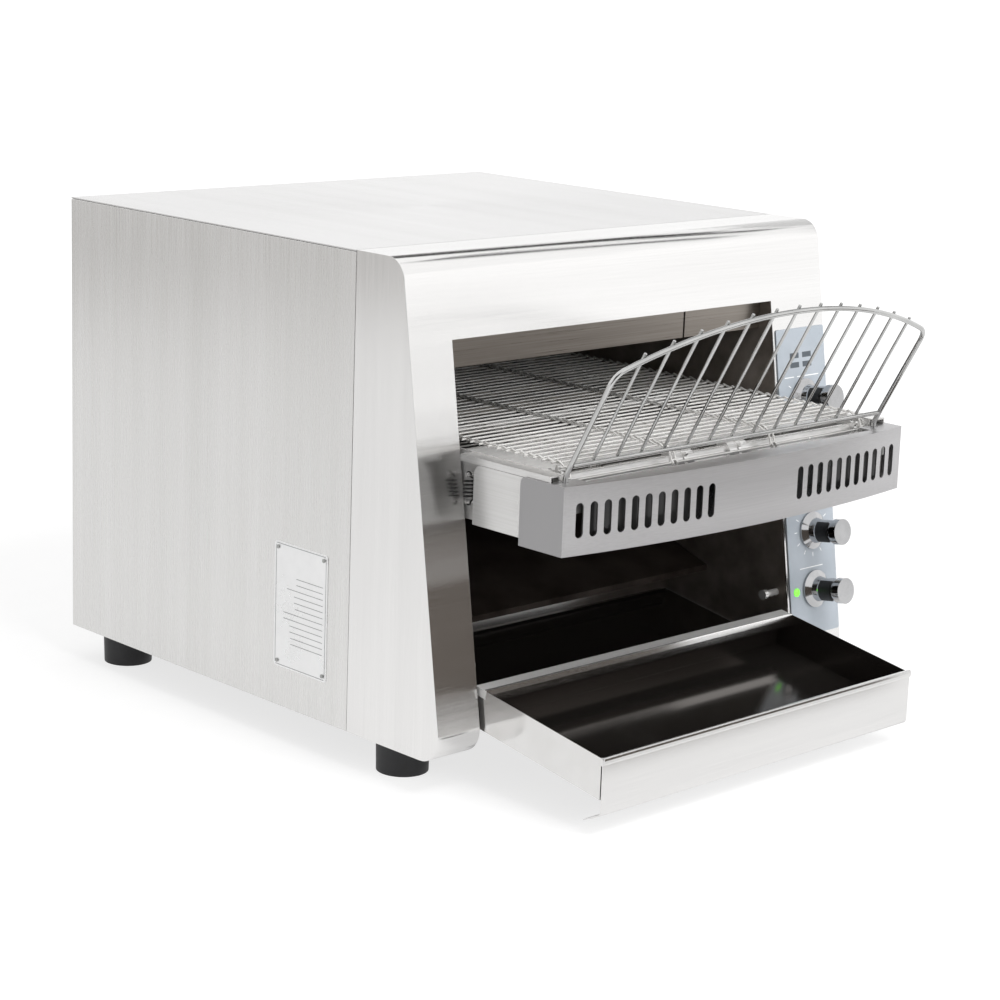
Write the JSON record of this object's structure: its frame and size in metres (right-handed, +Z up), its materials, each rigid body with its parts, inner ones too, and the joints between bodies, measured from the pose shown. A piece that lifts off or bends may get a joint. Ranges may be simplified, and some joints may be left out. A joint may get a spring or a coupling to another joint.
{
  "type": "conveyor toaster",
  "caption": "Counter conveyor toaster with a wire belt, lift-off wire guard, slotted front apron, sliding toast tray and dial controls on a brushed steel casing.",
  "frame": {"origin": "point on the counter in the middle of the four feet", "axes": "+Z up, front towards -Y, +X to the right seen from the front"},
  "size_m": [0.4714, 0.6244, 0.4051],
  "materials": {
    "brushed_stainless": "fine vertical brush",
    "satin_stainless": "satin mill finish",
    "plated_steel": "zinc plated",
    "bright_steel": "bright drawn wire",
    "chromed_steel": "polished",
    "black_spring_steel": "blackened",
    "black_enamel": "semi-gloss",
    "quartz_tube": "clear tube",
    "ceramic_white": null,
    "black_rubber": "moulded",
    "black_plastic": "fine grain",
    "grip_rubber": "ribbed",
    "panel_overlay": "satin film on a steel plate",
    "board_green": "solder mask",
    "green_lens": "clear lens",
    "plate_aluminium": "satin"
  },
  "bodies": {
    "casing": {"front_bezel": "brushed_stainless", "left_side_panel": "brushed_stainless", "right_side_panel": "brushed_stainless", "top_cover": "brushed_stainless", "rear_cover": "brushed_stainless", "left_cover_plate": "brushed_stainless", "right_cover_plate": "brushed_stainless", "front_apron": "satin_stainless", "left_conveyor_rail": "satin_stainless", "right_conveyor_rail": "satin_stainless", "front_baffle": "satin_stainless", "chamber_left_wall": "satin_stainless", "chamber_right_wall": "satin_stainless", "toast_chute": "satin_stainless", "upper_reflector": "satin_stainless", "lower_reflector": "satin_stainless", "tray_shelf": "satin_stainless", "tray_guide_pins": "satin_stainless", "base_pan": "plated_steel", "motor_bracket": "plated_steel", "guard_sockets": "plated_steel", "shaft_bearings": "plated_steel", "rear_cover_screws": "plated_steel", "plate_rivets": "plated_steel", "conveyor_belt": "bright_steel", "belt_support_rods": "bright_steel", "belt_bed_plate": "bright_steel", "drive_chain": "bright_steel", "tension_springs": "black_spring_steel", "gearmotor": "black_enamel", "apron_shield": "black_enamel", "upper_heating_tubes": "quartz_tube", "lower_heating_tubes": "quartz_tube", "tube_insulators": "ceramic_white", "rubber_feet": "black_rubber", "cord_gland": "black_rubber", "fan_frame": "black_plastic", "rotary_switches": "black_plastic", "terminal_block": "black_plastic", "control_panel": "panel_overlay", "control_board": "board_green", "indicator_lamp": "green_lens", "rating_plate": "plate_aluminium"},
    "tray": {"tray_body": "satin_stainless", "tray_front_panel": "brushed_stainless"},
    "guard": {"guard_frame": "chromed_steel", "guard_wires": "chromed_steel"},
    "rear_conveyor_shaft": {"drive_shaft": "bright_steel", "drive_sprockets": "bright_steel", "driven_chain_sprocket": "bright_steel"},
    "front_conveyor_shaft": {"idler_shaft": "bright_steel", "idler_sprockets": "bright_steel"},
    "motor_output": {"motor_sprocket": "bright_steel"},
    "fan_rotor": {"fan_impeller": "black_plastic"},
    "power_dial": {"power_knob": "chromed_steel", "power_knob_grips": "grip_rubber"},
    "speed_dial": {"speed_knob": "chromed_steel", "speed_knob_grips": "grip_rubber"},
    "heat_dial": {"heat_knob": "chromed_steel", "heat_knob_grips": "grip_rubber"}
  },
  "joints": [
    {"name": "tray_slide", "type": "slide", "parent": "casing", "child": "tray", "axis": [0, -0.9877, -0.1564], "range_m": [-0.127, 0]},
    {"name": "guard_lift", "type": "slide", "parent": "casing", "child": "guard", "axis": [0, 0, 1], "range_m": [0, 0.03]},
    {"name": "rear_shaft_spin", "type": "hinge", "parent": "casing", "child": "rear_conveyor_shaft", "pos_m": [0, 0.13, 0.252], "axis": [1, 0, 0], "continuous": true},
    {"name": "front_shaft_spin", "type": "hinge", "parent": "casing", "child": "front_conveyor_shaft", "pos_m": [0, -0.3175, 0.252], "axis": [1, 0, 0], "continuous": true},
    {"name": "motor_spin", "type": "hinge", "parent": "casing", "child": "motor_output", "pos_m": [0.1832, 0.0805, 0.135], "axis": [1, 0, 0], "continuous": true},
    {"name": "fan_spin", "type": "hinge", "parent": "casing", "child": "fan_rotor", "pos_m": [0.202, 0.2, 0.087], "axis": [0, 1, 0], "continuous": true},
    {"name": "power_turn", "type": "hinge", "parent": "casing", "child": "power_dial", "pos_m": [0.204, -0.25605, 0.09632], "axis": [0, -0.9887, 0.1502], "range_deg": [0, 90]},
    {"name": "speed_turn", "type": "hinge", "parent": "casing", "child": "speed_dial", "pos_m": [0.204, -0.24845, 0.14632], "axis": [0, -0.9887, 0.1502], "range_deg": [-270, 0]},
    {"name": "heat_turn", "type": "hinge", "parent": "casing", "child": "heat_dial", "pos_m": [0.204, -0.23128, 0.25932], "axis": [0, -0.9887, 0.1502], "range_deg": [-270, 0]}
  ],
  "couplings": [
    {"joint": "front_shaft_spin", "follows": "rear_shaft_spin", "ratio": 1},
    {"joint": "motor_spin", "follows": "rear_shaft_spin", "ratio": 2}
  ]
}
